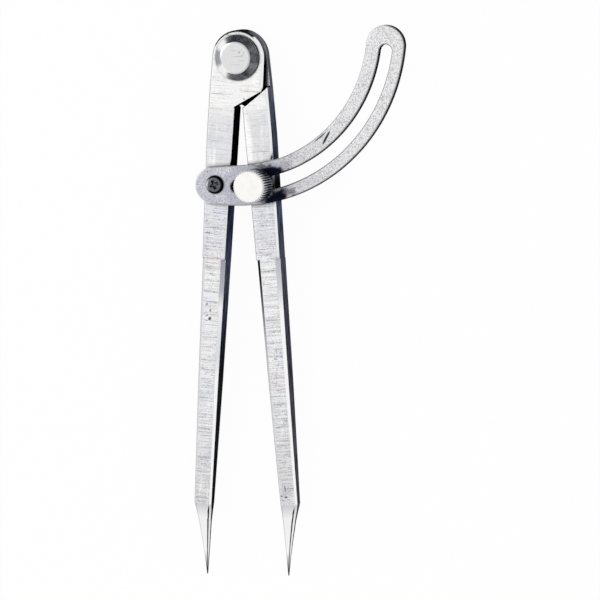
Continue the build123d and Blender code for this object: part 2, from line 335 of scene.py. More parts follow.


# tool steel, hardened and surface ground: satin faces with fine lines across the leg and bright patches, one
# a painted highlight, painted shade on the sides, in the joint and behind the thumb screw, bevels painted
# light and shade by the way they face, thin bright lines where the edges are rubbed and carry a painted
# highlight, and polished points with a painted dark reflection. Stations are millimetres from the pivot
# towards the point
legFinish = {
    "faceTones": ((0, "#ebebea"), (18, "#f4f4f3"), (25, "#e0e0e2"), (44, "#dfdfe2"), (54, "#e4e5ea"),
                  (72, "#e6e6ea"), (82, "#f1f1f2"), (120, "#eeeef0"), (145, "#eaeaeb"), (168, "#e0e0e1")),
    "tints": ((0.30, "#f9faff"), (0.45, "#ffffff"), (0.55, "#ffffff"), (0.70, "#fffbfa")),
    "tintScale": 0.11,                       # clouds to a millimetre
    "wornAndLitHex": "#f8f8f8",
    "streakSize": (2.6, 16.0),               # soft streaks along the leg, in millimetres
    "streakShow": (0.5, 0.78),
    "markSoftness": 0.45,

    # grinding, in millimetres; the real 0.05 mm grit wouldn't show
    "lineHex": "#5c5d66",
    "lineWidth": 0.42,
    "lineLength": 12.0,
    "scoreWidth": 1.0,                       # deeper lines, fewer
    "speckleSize": 0.45,
    "fineShow": (0.62, 0.34, 0.0, 0.48),     # noise where a line starts and is full, its depth there
    "scoreShow": (0.34, 0.26, 0.0, 0.45),
    "speckleShow": (0.5, 0.3, 0.0, 0.35),
    "deeper": (40.0, 62.0, 0.65, 1.0),       # stations between which all three get deeper

    # bevels on the front corners, painted light and shade by the way they face
    "stop": 77.5,                            # station where they start, but for the head's rim
    "leftBevelHex": "#f0f0f0",
    "shadedLowEdgeHex": "#3c3d42",
    "shadedLowEdgeWidth": 0.8,
    "shadedLowEdgeShow": (0.69, 0.55, 0.0, 0.75),
    "stopShadeReach": (78.0, 112.0),
    "leftToRight": (-0.3, 0.1),
    "rimShadeHex": "#17171b",                     # painted shade round the head
    "rimReach": (0.28, 0.42),
    "rimAside": (0.0, 1.0, 0.0, 0.5),        # it reaches less far at the right
    "rimLean": (0.82, 0.70),
    "rimFull": 0.5,
    "edgeWidth": 0.22,
    "edgeShadeLineHex": "#96979e",                # painted shade: a thin line where the face meets a bevel at its right
    "edgeShadeLineSlant": (0.02, 0.10),
    "edgeShadeLineUp": (0.96, 0.98),
    "wornAndLitShow": (0.02, 0.14),

    # painted shade in the joint, behind the thumb screw and on the sides
    "jointShadeHex": "#08080a",
    "jointShadeFrom": 5.0,
    "jointShadeLean": (0.2, 0.35),
    "endwise": (0.86, 0.97),
    "occlusionShadeReach": 2.5,
    "lapHeight": (7.0, 3.0),                 # middle and reach of the lap's faces, over the bench
    "lapStation": (17.4, 5.6),               # and along the leg
    "lapShow": (0.8, 0.95),
    "knobShadeSoftness": 0.5,
    "sideStreakSize": (9.0, 0.9),                 # along the leg and through it, in millimetres
    "sideStreakShow": (0.30, 0.62),

    # points, drawn by a finer wheel
    "pointReach": (172.5, 173.5),
    "pointUp": (0.25, 0.45),
    "pointTones": ((172, "#c4c4c9"), (178, "#efeff0"), (191, "#f4f4f4"), (198, "#3c3d42")),
    "pointStripeHex": "#0d0d0f",                   # painted dark reflection along the point
    "pointStripeEdges": ((0.30, 0.36), (0.60, 0.52)),

    "roughness": 0.36,
    "bevelRoughness": 0.24,
    "sideRoughness": 0.70,
    "pointRoughness": 0.16,
    "roughnessToFace": (0.90, 0.98),
    "roughnessToBevel": (0.25, 0.50),
    "lineRoughness": 0.12,
    "relief": 0.25,
}

leftLeg = {
    "turn": -legTurn,
    # bevels painted light and shade by the way they face
    "bevelLightAndShade": ((70, "#f0f0f2"), (77, "#e8e8ea"), (78, "#9fa0a7"), (90, "#b4b5bc"), (97, "#f2f2f3"),
                   (104, "#e4e4ea"), (116, "#dedee6"), (124, "#f8f8f8"), (172, "#f8f8f8")),
    # painted shade on the sides
    "sideShadeTones": ((-11, "#96979c"), (-5, "#86878c"), (1, "#0b0b0e"), (44, "#0e0e15"), (52, "#35344a"),
                  (72, "#5d5e7c"), (86, "#686a7d"), (100, "#545569"), (112, "#383943"), (172, "#2a2c2c")),
    "sideDeepShadeHex": "#0e0e12",
    "lineFrom": -20.0,                       # station from which the left bevel has a painted dark low edge
    "stopShade": 0.0,                            # how dark the painted shade on the left bevel starts at the stop
    "knobShade": (),
    "brightPatches": ((-9.5, -8.0, 5.0, 14.0, 0, 0.25), (-8.0, -100.0, 3.0, 10.0, -4.7, 0.3)),
    "marks": (
        (2.4, -15.9, 0.7, 0.5, 20, 0.9),
        (-14.6, -61.3, 1.3, 0.6, 50, 0.7), (-13.4, -62.6, 1.2, 0.6, 10, 0.6),
        (-15.4, -62.6, 1.0, 0.6, 0, 0.6), (-13.9, -63.4, 0.8, 0.5, 80, 0.5),
        (-14.0, -94.8, 1.2, 0.9, 40, 0.65), (-12.6, -97.2, 1.4, 0.7, 80, 0.75),
        (-14.0, -99.2, 1.2, 0.8, 10, 0.6), (-12.9, -100.4, 1.5, 1.2, 60, 1.0),
        (-14.2, -101.2, 1.0, 0.6, 0, 0.6),
    ),
}

rightLeg = {
    "turn": legTurn,
    # bevels painted light and shade by the way they face
    "bevelLightAndShade": ((70, "#f0f0f2"), (77, "#e8e8ea"), (78, "#bcbdc3"), (88, "#cfcfd4"), (98, "#f8f8f9"),
                   (172, "#f8f8f8")),
    # painted shade on the sides
    "sideShadeTones": ((-11, "#a5a6ab"), (-4, "#9a9ba0"), (5, "#6a6b75"), (12, "#82838c"), (20, "#6e7184"),
                  (36, "#545769"), (60, "#626880"), (82, "#6b6c78"), (110, "#5c5d63"), (172, "#6c6d71")),
    "sideDeepShadeHex": "#26272f",
    "lineFrom": legFinish["stop"],
    "stopShade": 0.93,
    # painted shadow of the thumb screw on the leg
    "knobShade": ((13.6, -49.5, 2.8, 12.0, 4.7, 0.85),),
    # bright patches; the first is a painted highlight along the inner edge
    "brightPatches": ((3.6, -33.5, 4.0, 26.0, 4.7, 0.75), (6.4, -76.0, 3.0, 9.0, 4.7, 0.4),
              (12.0, -97.0, 7.0, 50.0, 4.7, 0.35)),
    "marks": (
        (14.0, -112.4, 0.8, 2.6, 0, 0.5), (13.7, -115.6, 1.6, 0.7, 0, 0.6), (13.8, -121.9, 0.8, 3.0, 0, 0.45),
        (14.4, -118.0, 2.4, 0.5, 3, 0.5), (13.2, -125.0, 3.0, 0.5, 3, 0.5),
        (14.3, -168.6, 2.0, 0.7, 5, 1.0), (16.7, -168.9, 1.3, 0.7, 0, 1.0), (16.4, -165.6, 0.6, 3.0, 8, 0.7),
        (13.6, -166.8, 1.4, 0.5, 30, 0.6), (15.4, -170.2, 2.0, 0.5, -20, 0.6),
        (12.3, -60.0, 2.6, 0.3, 2, 0.6), (14.2, -63.4, 3.4, 0.3, 3, 0.5), (14.6, -67.8, 1.6, 0.3, 0, 0.6),
    ),
}


# how dark the lines, scores, speckles and marks make a face, and the fine noise of the lines
def addGrinding(tree, surface, station, leg, f):
    lines = put(tree, "ShaderNodeMapping",
                {"Vector": surface["own"], "Scale": (f["lineLength"] * mm, f["lineWidth"] * mm, 1.0)},
                vector_type="TEXTURE").outputs[0]
    fine = put(tree, "ShaderNodeTexNoise",
               {"Vector": lines, "Scale": 1.0, "Detail": 3.0, "Roughness": 0.7}).outputs[0]
    scores = put(tree, "ShaderNodeTexNoise",
                 {"Vector": lines, "Scale": f["lineWidth"] / f["scoreWidth"], "Detail": 1.0}).outputs[0]
    speckles = put(tree, "ShaderNodeTexNoise",
                   {"Vector": surface["own"], "Scale": 1 / (f["speckleSize"] * mm), "Detail": 2.0}).outputs[0]
    lined = 0.0
    for noise, key in ((fine, "fineShow"), (scores, "scoreShow"), (speckles, "speckleShow")):
        dark = mapValues(tree, (noise, *f[key]), (station, *f["deeper"]))
        lined = put(tree, "ShaderNodeMath", {0: dark, 1: lined}).outputs[0]
    marked = addMarks(tree, surface["place"], leg["marks"], f["markSoftness"])
    lined = put(tree, "ShaderNodeMath", {0: lined, 1: marked}, operation="MAXIMUM").outputs[0]
    return lined, fine


# a tone that shifts along the leg, with faint blue and rose clouds, bright streaks, bright patches with a
# painted highlight among them, and the lines
def addLegFace(tree, surface, station, lined, leg, f):
    across, along = f["streakSize"]
    streaks = put(tree, "ShaderNodeMapping",
                  {"Vector": surface["own"], "Scale": (across * mm, along * mm, 1.0)},
                  vector_type="TEXTURE").outputs[0]
    streaks = put(tree, "ShaderNodeTexNoise", {"Vector": streaks, "Scale": 1.0, "Detail": 3.0}).outputs[0]
    clouds = put(tree, "ShaderNodeTexNoise",
                 {"Vector": surface["place"], "Scale": f["tintScale"] / mm, "Detail": 2.0}).outputs[0]
    tone = blendStops(tree, station, f["faceTones"])
    tone = put(tree, "ShaderNodeMix", {"Factor": 1.0, 6: tone, 7: blendStops(tree, clouds, f["tints"])},
               data_type="RGBA", blend_type="MULTIPLY").outputs[2]
    face = blendRange(tree, streaks, *f["streakShow"], tone, linear(f["wornAndLitHex"]))
    brightPatches = addMarks(tree, surface["place"], leg["brightPatches"], f["markSoftness"])
    face = blendRange(tree, brightPatches, 0.0, 1.0, face, white)
    return blendRange(tree, lined, 0.0, 1.0, face, linear(f["lineHex"]))


# bevels that face left are light with a painted dark low edge, the others get painted light and shade along
# the leg; the head's rim and the ends in the joint get black painted shade, and the second socket says where
# edges can be rubbed and carry a painted highlight
def addLegBevels(tree, surface, station, leg, f):
    wideLean = readWideLean(tree, f["shadedLowEdgeWidth"])
    isLined, isBelowStop, isJointShade = [
        put(tree, "ShaderNodeMath", {0: station, 1: start}, operation="GREATER_THAN").outputs[0]
        for start in (leg["lineFrom"], f["stop"], f["jointShadeFrom"])]
    shadedLowEdge = mapValues(tree, (wideLean, *f["shadedLowEdgeShow"]), (isLined,))
    stopShade = mapValues(tree, (station, *f["stopShadeReach"], leg["stopShade"], 0.0), (isBelowStop,))
    shadedLowEdge = put(tree, "ShaderNodeMath", {0: shadedLowEdge, 1: stopShade}, operation="MAXIMUM").outputs[0]
    left = blendRange(tree, shadedLowEdge, 0.0, 1.0, linear(f["leftBevelHex"]), linear(f["shadedLowEdgeHex"]))
    right = blendStops(tree, station, leg["bevelLightAndShade"])
    bevel = blendRange(tree, surface["right"], *f["leftToRight"], left, right)

    aside = mapValues(tree, (surface["right"], *f["rimAside"]))
    rim = put(tree, "ShaderNodeMath", {0: surface["head"], 1: aside}, operation="SUBTRACT").outputs[0]
    rim = mapValues(tree, (rim, *f["rimReach"]), (wideLean, *f["rimLean"]))
    bevel = blendRange(tree, rim, 0.0, f["rimFull"], bevel, linear(f["rimShadeHex"]))

    jointShade = put(tree, "ShaderNodeMath", {0: surface["head"]}, operation="ABSOLUTE").outputs[0]
    jointShade = mapValues(tree, (jointShade,), (isJointShade,))
    start, full = f["jointShadeLean"]
    bevel = blendRange(tree, jointShade, start, full, bevel, linear(f["jointShadeHex"]))
    return bevel, mapValues(tree, (jointShade, full, start), (rim, f["rimFull"], 0.0))


# painted shade on the sides, streaked along the leg
def addLegSides(tree, surface, station, leg, f):
    along, through = f["sideStreakSize"]
    edgewise = put(tree, "ShaderNodeMapping",
                   {"Vector": surface["own"], "Scale": (1.0, along * mm, through * mm)},
                   vector_type="TEXTURE").outputs[0]
    sideStreak = put(tree, "ShaderNodeTexNoise", {"Vector": edgewise, "Scale": 1.0, "Detail": 4.0}).outputs[0]
    side = blendStops(tree, station, leg["sideShadeTones"])
    side = blendRange(tree, sideStreak, *f["sideStreakShow"], linear(leg["sideDeepShadeHex"]), side)
    # painted shade on the ends in the joint
    return blendRange(tree, surface["head"], *f["endwise"], side, linear(f["jointShadeHex"]))


# rubbed edges with painted highlights; those between the face and a bevel at its right carry a darker painted
# shade line
def addLegEdges(tree, surface, colour, wornAndLit, f):
    light = linear(f["wornAndLitHex"])
    edge = blendRange(tree, surface["slant"], *f["edgeShadeLineSlant"], light, linear(f["edgeShadeLineHex"]))
    edge = blendRange(tree, surface["up"], *f["edgeShadeLineUp"], light, edge)
    return blendRange(tree, wornAndLit, *f["wornAndLitShow"], colour, edge)


# painted shade on the lap's faces in the joint, and the thumb screw's painted shadow on the leg
def addJointAndKnobShade(tree, surface, height, station, colour, leg, f):
    inLap = surface["up"]
    for value, (middle, reach), unit in ((height, f["lapHeight"], mm), (station, f["lapStation"], 1)):
        inside = put(tree, "ShaderNodeMath", {0: value, 1: middle * unit, 2: reach * unit},
                     operation="COMPARE").outputs[0]
        inLap = put(tree, "ShaderNodeMath", {0: inLap, 1: inside}, operation="MULTIPLY").outputs[0]
    colour = blendRange(tree, inLap, *f["lapShow"], colour, linear(f["jointShadeHex"]))
    # painted shadow of the thumb screw
    knobShade = addMarks(tree, surface["place"], leg["knobShade"], f["knobShadeSoftness"])
    return blendRange(tree, knobShade, 0.0, 1.0, colour, linear(f["jointShadeHex"]))


# the polished point, but for its low sides, with a painted dark reflection along it; the second socket says
# how polished a place is
def addPoint(tree, surface, station, colour, f):
    polished = mapValues(tree, (station, *f["pointReach"]), (surface["up"], *f["pointUp"]))
    colour = blendRange(tree, polished, 0.0, 1.0, colour, blendStops(tree, station, f["pointTones"]))
    ridge = mapValues(tree, (polished,), *[(surface["right"], *edge) for edge in f["pointStripeEdges"]])
    return blendRange(tree, ridge, 0.0, 1.0, colour, linear(f["pointStripeHex"])), polished


def addLegRoughness(tree, surface, fine, polished, f):
    rough = mapValues(tree, (surface["up"], *f["roughnessToFace"], f["bevelRoughness"], f["roughness"]))
    rough = mapValues(tree, (surface["up"], *f["roughnessToBevel"], f["sideRoughness"], rough))
    grit = put(tree, "ShaderNodeMath", {0: fine, 1: f["lineRoughness"]}, operation="MULTIPLY").outputs[0]
    rough = put(tree, "ShaderNodeMath", {0: rough, 1: grit}, operation="SUBTRACT").outputs[0]
    return mapValues(tree, (polished, 0.0, 1.0, rough, f["pointRoughness"]))


def groundSteel(name, leg, f):
    material, tree = startMaterial(name)
    surface = readSurface(tree, leg["turn"], f["edgeWidth"], f["occlusionShadeReach"])
    spot = put(tree, "ShaderNodeSeparateXYZ", {0: surface["own"]}).outputs
    station = put(tree, "ShaderNodeMath", {0: spot["Y"], 1: -1 / mm}, operation="MULTIPLY").outputs[0]
    lined, fine = addGrinding(tree, surface, station, leg, f)
    face = addLegFace(tree, surface, station, lined, leg, f)
    bevel, kept = addLegBevels(tree, surface, station, leg, f)
    side = addLegSides(tree, surface, station, leg, f)
    colour = blendRange(tree, surface["up"], *metalLook["sideToBevel"], side, bevel)
    colour = blendRange(tree, surface["up"], *metalLook["bevelToFace"], colour, face)
    colour = addLegEdges(tree, surface, colour, readWornAndLit(tree, surface, fine, kept), f)
    colour = addJointAndKnobShade(tree, surface, spot["Z"], station, colour, leg, f)
    colour, polished = addPoint(tree, surface, station, colour, f)
    rough = addLegRoughness(tree, surface, fine, polished, f)
    addMetal(tree, surface, colour, rough, fine, f["relief"])
    return material


# mild steel plate, blanked and tumbled: a grainy satin face, painted shade on the sheared sides and the low
# part of the bevels, rubbed edges with painted highlights, and a painted shadow and reflection of the thumb
# screw where the plate lies behind it
wingFinish = {
    "faceTones": ((-20, "#c9cad4"), (6, "#b3b4c0"), (24, "#d3d3d8"), (45, "#e6e6e7"), (65, "#e8e8e8")),
    "cloudScale": 0.2,                       # to a millimetre
    "cloudShow": (0.45, 0.95),
    "grainHex": "#85868d",
    "grainSize": 0.55,                       # millimetres; the real 0.1 mm grain wouldn't show
    "grainShow": (0.62, 0.32, 0.0, 0.75),
    "bevelHex": "#ebebec",
    "lineHex": "#1c1d23",
    "lineWidth": 0.8,                        # painted shade on the low part of the bevels, in millimetres
    "shadeLineLean": (0.82, 0.64),
    "shadeLineRight": (-0.1, 0.25, 0.08, 1.0),    # the painted shade is faint on bevels that face left
    # painted shade on the sheared sides
    "sideShadeHex": "#16171c",
    "sideDeepShadeHex": "#0f1014",
    "sideShadeShow": (0.35, 0.65),
    "wornAndLitHex": "#f6f6f7",
    "wornAndLitShow": (0.03, 0.16),
    "wornAndLitAtLine": (0.0, 1.0, 1.0, 0.25),   # less on the bevels that have the painted shade line
    # painted shadow and reflection of the thumb screw on the plate
    "knobShadowHex": "#111426",
    "knobShadowSoftness": 0.45,
    "knobShadowStray": 5.0,                        # millimetres
    "knobShadowScale": 0.35,                       # waves to a millimetre
    "knobShadowPatches": ((13.4, -43.6, 11.0, 5.2, 4, 1.0), (15.8, -53.4, 11.0, 5.0, 25, 1.0),
                    (19.5, -43.2, 6.0, 1.8, 18, 0.7), (19.0, -41.0, 8.0, 4.0, 18, 0.3),
                    (21.0, -51.4, 9.0, 3.0, 25, 0.55), (10.5, -41.2, 8.0, 1.0, 4, 0.6)),
    "scratchHex": "#3b3c44",
    "scratchSoftness": 0.3,
    "scratches": ((34.0, -30.0, 6.0, 0.5, 38, 0.95), (36.5, -30.2, 6.0, 0.9, 60, 1.0),
                  (1.2, -45.6, 2.4, 0.35, 95, 0.35), (1.2, -51.5, 3.5, 0.35, 95, 0.35)),
    "roughness": (0.3, 0.7, 0.48, 0.34),     # less between the grain
    "edgeWidth": 0.2,
    "occlusionShadeReach": 1.2,
    "relief": 0.35,
}


# a place, strayed by a noise, so that what is drawn there runs out unevenly
def strayPlace(tree, place, perMillimetre, stray):
    noise = put(tree, "ShaderNodeTexNoise",
                {"Vector": place, "Scale": perMillimetre / mm, "Detail": 3.0}).outputs[1]
    noise = put(tree, "ShaderNodeVectorMath", {0: noise, 1: (0.5, 0.5, 0.5)}, operation="SUBTRACT").outputs[0]
    noise = put(tree, "ShaderNodeVectorMath", {0: noise, "Scale": stray * mm}, operation="SCALE").outputs[0]
    return put(tree, "ShaderNodeVectorMath", {0: place, 1: noise}).outputs[0]


def plateSteel(name, f):
    material, tree = startMaterial(name)
    surface = readSurface(tree, 0.0, f["edgeWidth"], f["occlusionShadeReach"])
    spot = put(tree, "ShaderNodeSeparateXYZ", {0: surface["place"]}).outputs
    along = put(tree, "ShaderNodeMath", {0: spot["X"], 1: 1 / mm}, operation="MULTIPLY").outputs[0]
    grain = put(tree, "ShaderNodeTexNoise",
                {"Vector": surface["place"], "Scale": 1 / (f["grainSize"] * mm), "Detail": 3.0,
                 "Roughness": 0.7}).outputs[0]
    cloud = put(tree, "ShaderNodeTexNoise",
                {"Vector": surface["place"], "Scale": f["cloudScale"] / mm, "Detail": 3.0,
                 "Roughness": 0.6}).outputs[0]

    face = blendStops(tree, along, f["faceTones"])
    face = blendRange(tree, cloud, *f["cloudShow"], face, linear(f["wornAndLitHex"]))
    dull = mapValues(tree, (grain, *f["grainShow"]))
    face = blendRange(tree, dull, 0.0, 1.0, face, linear(f["grainHex"]))
    scratched = addMarks(tree, surface["place"], f["scratches"], f["scratchSoftness"])
    face = blendRange(tree, scratched, 0.0, 1.0, face, linear(f["scratchHex"]))

    # painted shade on the sides, and along the low part of the bevels
    side = blendRange(tree, cloud, *f["sideShadeShow"], linear(f["sideDeepShadeHex"]), linear(f["sideShadeHex"]))
    facing = mapValues(tree, (surface["right"], *f["shadeLineRight"]))
    line = mapValues(tree, (readWideLean(tree, f["lineWidth"]), *f["shadeLineLean"]), (facing,))
    bevel = blendRange(tree, line, 0.0, 1.0, linear(f["bevelHex"]), linear(f["lineHex"]))

    colour = blendRange(tree, surface["up"], *metalLook["sideToBevel"], side, bevel)
    colour = blendRange(tree, surface["up"], *metalLook["bevelToFace"], colour, face)
    # painted shadow and reflection of the thumb screw, running out unevenly
    strayed = strayPlace(tree, surface["place"], f["knobShadowScale"], f["knobShadowStray"])
    knobShadowed = addMarks(tree, strayed, f["knobShadowPatches"], f["knobShadowSoftness"])
    colour = blendRange(tree, knobShadowed, 0.0, 1.0, colour, linear(f["knobShadowHex"]))
    # rubbed edges with painted highlights
    wornAndLit = readWornAndLit(tree, surface, grain, mapValues(tree, (facing, *f["wornAndLitAtLine"])))
    colour = blendRange(tree, wornAndLit, *f["wornAndLitShow"], colour, linear(f["wornAndLitHex"]))

    addMetal(tree, surface, colour, mapValues(tree, (grain, *f["roughness"])), grain, f["relief"])
    return material


# what the turned pieces share
turnedLook = {
    "edgeWidth": 0.15,
    "rimToFlank": (0.15, 0.40),              # how level a surface lies, as in metalLook
    "flankToFace": (0.93, 0.99),
    "ringShow": (0.55, 0.35),
    "wearScale": 0.5,                        # to a millimetre
    "wearShow": (0.3, 0.7),
    "wearRoughness": (0.06, -0.04),          # added where it is dull, and where it is worn
    "markSoftness": 0.4,
    "relief": 0.2,
}

# turned steel, polished by the tool's feed: a bright rivet whose cone shows a painted fan of dark and light
# reflections, with painted shade on its upright rim
rivetFinish = {
    "centre": (0.0, 0.0),
    "faceHex": "#dedede",
    "flankLightAndShade": ((0, "#b0b1b9"), (100, "#c6c7cd"), (120, "#f6f6f6"), (150, "#f6f6f6"), (163, "#a2a3ab"),
                   (180, "#a2a3ab")),
    "rimShadeHex": "#0c0c0f",
    "ringHex": "#a5a6ac",
    "ringWidth": 0.5,                        # millimetres; the real 0.1 mm feed wouldn't show
    "ringDepth": 0.5,
    "roughness": 0.19,
    "occlusionShadeReach": 0.8,
    "marks": ((1.2, 0.6, 5.0, 0.4, 3, 0.5), (2.6, -1.0, 3.4, 0.4, 0, 0.45), (-1.0, 3.0, 4.0, 0.4, 0, 0.4),
              (0.5, -2.6, 4.6, 0.4, -2, 0.35), (1.8, 2.2, 1.3, 0.6, 60, 0.7), (2.9, 0.9, 1.1, 0.6, 30, 0.6),
              (3.6, 2.0, 1.2, 0.5, 80, 0.5)),
}

# steel screw, blackened in hot oil: near black, with grey where the driver has rubbed it; its rounded
# shoulder is painted dark at the right and light at the left
blackFinish = {
    "centre": wingPin,
    "faceHex": "#64656b",
    "flankLightAndShade": ((0, "#0f0f12"), (125, "#0f0f12"), (150, "#8a8b92"), (180, "#d9dae0")),
    "rimShadeHex": "#101013",
    "ringHex": "#2c2d31",
    "ringWidth": 0.6,
    "ringDepth": 1.0,
    "roughness": 0.34,
    "occlusionShadeReach": 1.5,
    "marks": (),
}

# machined steel washer, left bright, with painted light and shade on its flank and rim
washerFinish = {
    "centre": clampPin,
    "faceHex": "#c6c6ca",
    "flankLightAndShade": ((0, "#b0b0b6"), (180, "#d0d0d4")),
    "rimShadeHex": "#6c6d76",
    "ringHex": "#8e8f97",
    "ringWidth": 0.4,
    "ringDepth": 0.6,
    "roughness": 0.32,
    "occlusionShadeReach": 1.0,
    "marks": (),
}

# steel screw, nickel plated over a straight knurl: warm white face, knurled rim painted dark at the back and
# light at the front, with painted shade in its grooves, and a bevel painted light at the left
knobFinish = {
    "centre": clampPin,
    "faceHex": "#f2f1ee",
    "flankLightAndShade": ((0, "#d2d3d8"), (70, "#dededf"), (110, "#f2f1ee"), (180, "#f4f3f0")),
    "rimShadeHex": "#9a9caa",
    "knurl": {
        "litFrontHex": "#e9eaf2",
        "heights": (19.0, 23.6),             # painted light and shade: from the rim's colour to the front's, mm over the bench
        "grooveShadeHex": "#101116",
        "groove": (6.15, 6.40),              # painted shade full at the first radius, gone at the second
    },
    "ringHex": "#dddbd5",
    "ringWidth": 0.45,
    "ringDepth": 0.7,
    "roughness": 0.30,
    "occlusionShadeReach": 0.6,
    "marks": (),
}


# a knurled rim with painted light and shade: lighter towards the front, with painted shade in its grooves
def addKnurl(tree, height, radius, rimShadeHex, k):
    low, high = k["heights"]
    rim = blendRange(tree, height, low * mm, high * mm, linear(rimShadeHex), linear(k["litFrontHex"]))
    shaded, unshaded = k["groove"]
    ridge = mapValues(tree, (radius, shaded * mm, unshaded * mm))
    return put(tree, "ShaderNodeMix", {"Factor": ridge, 6: linear(k["grooveShadeHex"]), 7: rim},
               data_type="RGBA").outputs[2]


def turnedSteel(name, f):
    material, tree = startMaterial(name)
    look = turnedLook
    surface = readSurface(tree, 0.0, look["edgeWidth"], f["occlusionShadeReach"])
    x, y = f["centre"]
    about = put(tree, "ShaderNodeMapping", {"Vector": surface["place"], "Location": (x * mm, y * mm, 0)},
                vector_type="TEXTURE").outputs[0]
    spot = put(tree, "ShaderNodeSeparateXYZ", {0: about}).outputs
    flat = put(tree, "ShaderNodeCombineXYZ", {"X": spot["X"], "Y": spot["Y"]}).outputs[0]
    radius = put(tree, "ShaderNodeVectorMath", {0: flat}, operation="LENGTH").outputs["Value"]
    feed = mapValues(tree, (radius,), (1 / (f["ringWidth"] * mm),))
    rings = put(tree, "ShaderNodeTexNoise", {"W": feed, "Scale": 1.0, "Detail": 2.0},
                noise_dimensions="1D").outputs[0]
    # degrees round from the right, the same above and below
    angle = put(tree, "ShaderNodeMath", {0: spot["Y"], 1: spot["X"]}, operation="ARCTAN2").outputs[0]
    angle = put(tree, "ShaderNodeMath", {0: angle}, operation="ABSOLUTE").outputs[0]
    angle = put(tree, "ShaderNodeMath", {0: angle, 1: 1 / degree}, operation="MULTIPLY").outputs[0]

    wear = put(tree, "ShaderNodeTexNoise",
               {"Vector": about, "Scale": look["wearScale"] / mm, "Detail": 3.0, "Roughness": 0.6}).outputs[0]
    worn = mapValues(tree, (rings, *look["ringShow"], 0.0, f["ringDepth"]), (wear,))
    marked = addMarks(tree, about, f["marks"], look["markSoftness"])
    worn = put(tree, "ShaderNodeMath", {0: worn, 1: marked}, operation="MAXIMUM").outputs[0]
    face = blendRange(tree, worn, 0.0, 1.0, linear(f["faceHex"]), linear(f["ringHex"]))
    # flank painted light and shade by which way round it faces, rim in painted shade
    flank = blendStops(tree, angle, f["flankLightAndShade"])
    rim = linear(f["rimShadeHex"])
    if "knurl" in f:
        rim = addKnurl(tree, spot["Z"], radius, f["rimShadeHex"], f["knurl"])
    colour = blendRange(tree, surface["up"], *look["rimToFlank"], rim, flank)
    colour = blendRange(tree, surface["up"], *look["flankToFace"], colour, face)

    dull, bright = [f["roughness"] + more for more in look["wearRoughness"]]
    rough = mapValues(tree, (wear, *look["wearShow"], dull, bright))
    addMetal(tree, surface, colour, rough, rings, look["relief"])
    return material


def dress(nodeName, material):
    mesh = nodes[nodeName].data
    mesh.materials.clear()
    mesh.materials.append(material)


socketKinds = {int: "NodeSocketInt", float: "NodeSocketFloat", tuple: "NodeSocketVector",
               type(None): "NodeSocketMaterial"}


# a geometry tree with labelled inputs and their values, where None stands for a material
def startTree(name, values):
    tree = bpy.data.node_groups.new(name, "GeometryNodeTree")
    for way in ("INPUT", "OUTPUT"):
        tree.interface.new_socket("Geometry", in_out=way, socket_type="NodeSocketGeometry")
    for label, value in values.items():
        kind = socketKinds[type(value)]
        socket = tree.interface.new_socket(label, in_out="INPUT", socket_type=kind)
        if value is not None:
            socket.default_value = value
    return tree, put(tree, "NodeGroupInput").outputs


grooveSharpness = 3.0                        # the higher, the narrower a knurl's groove
weldDistance = 0.002 * mm


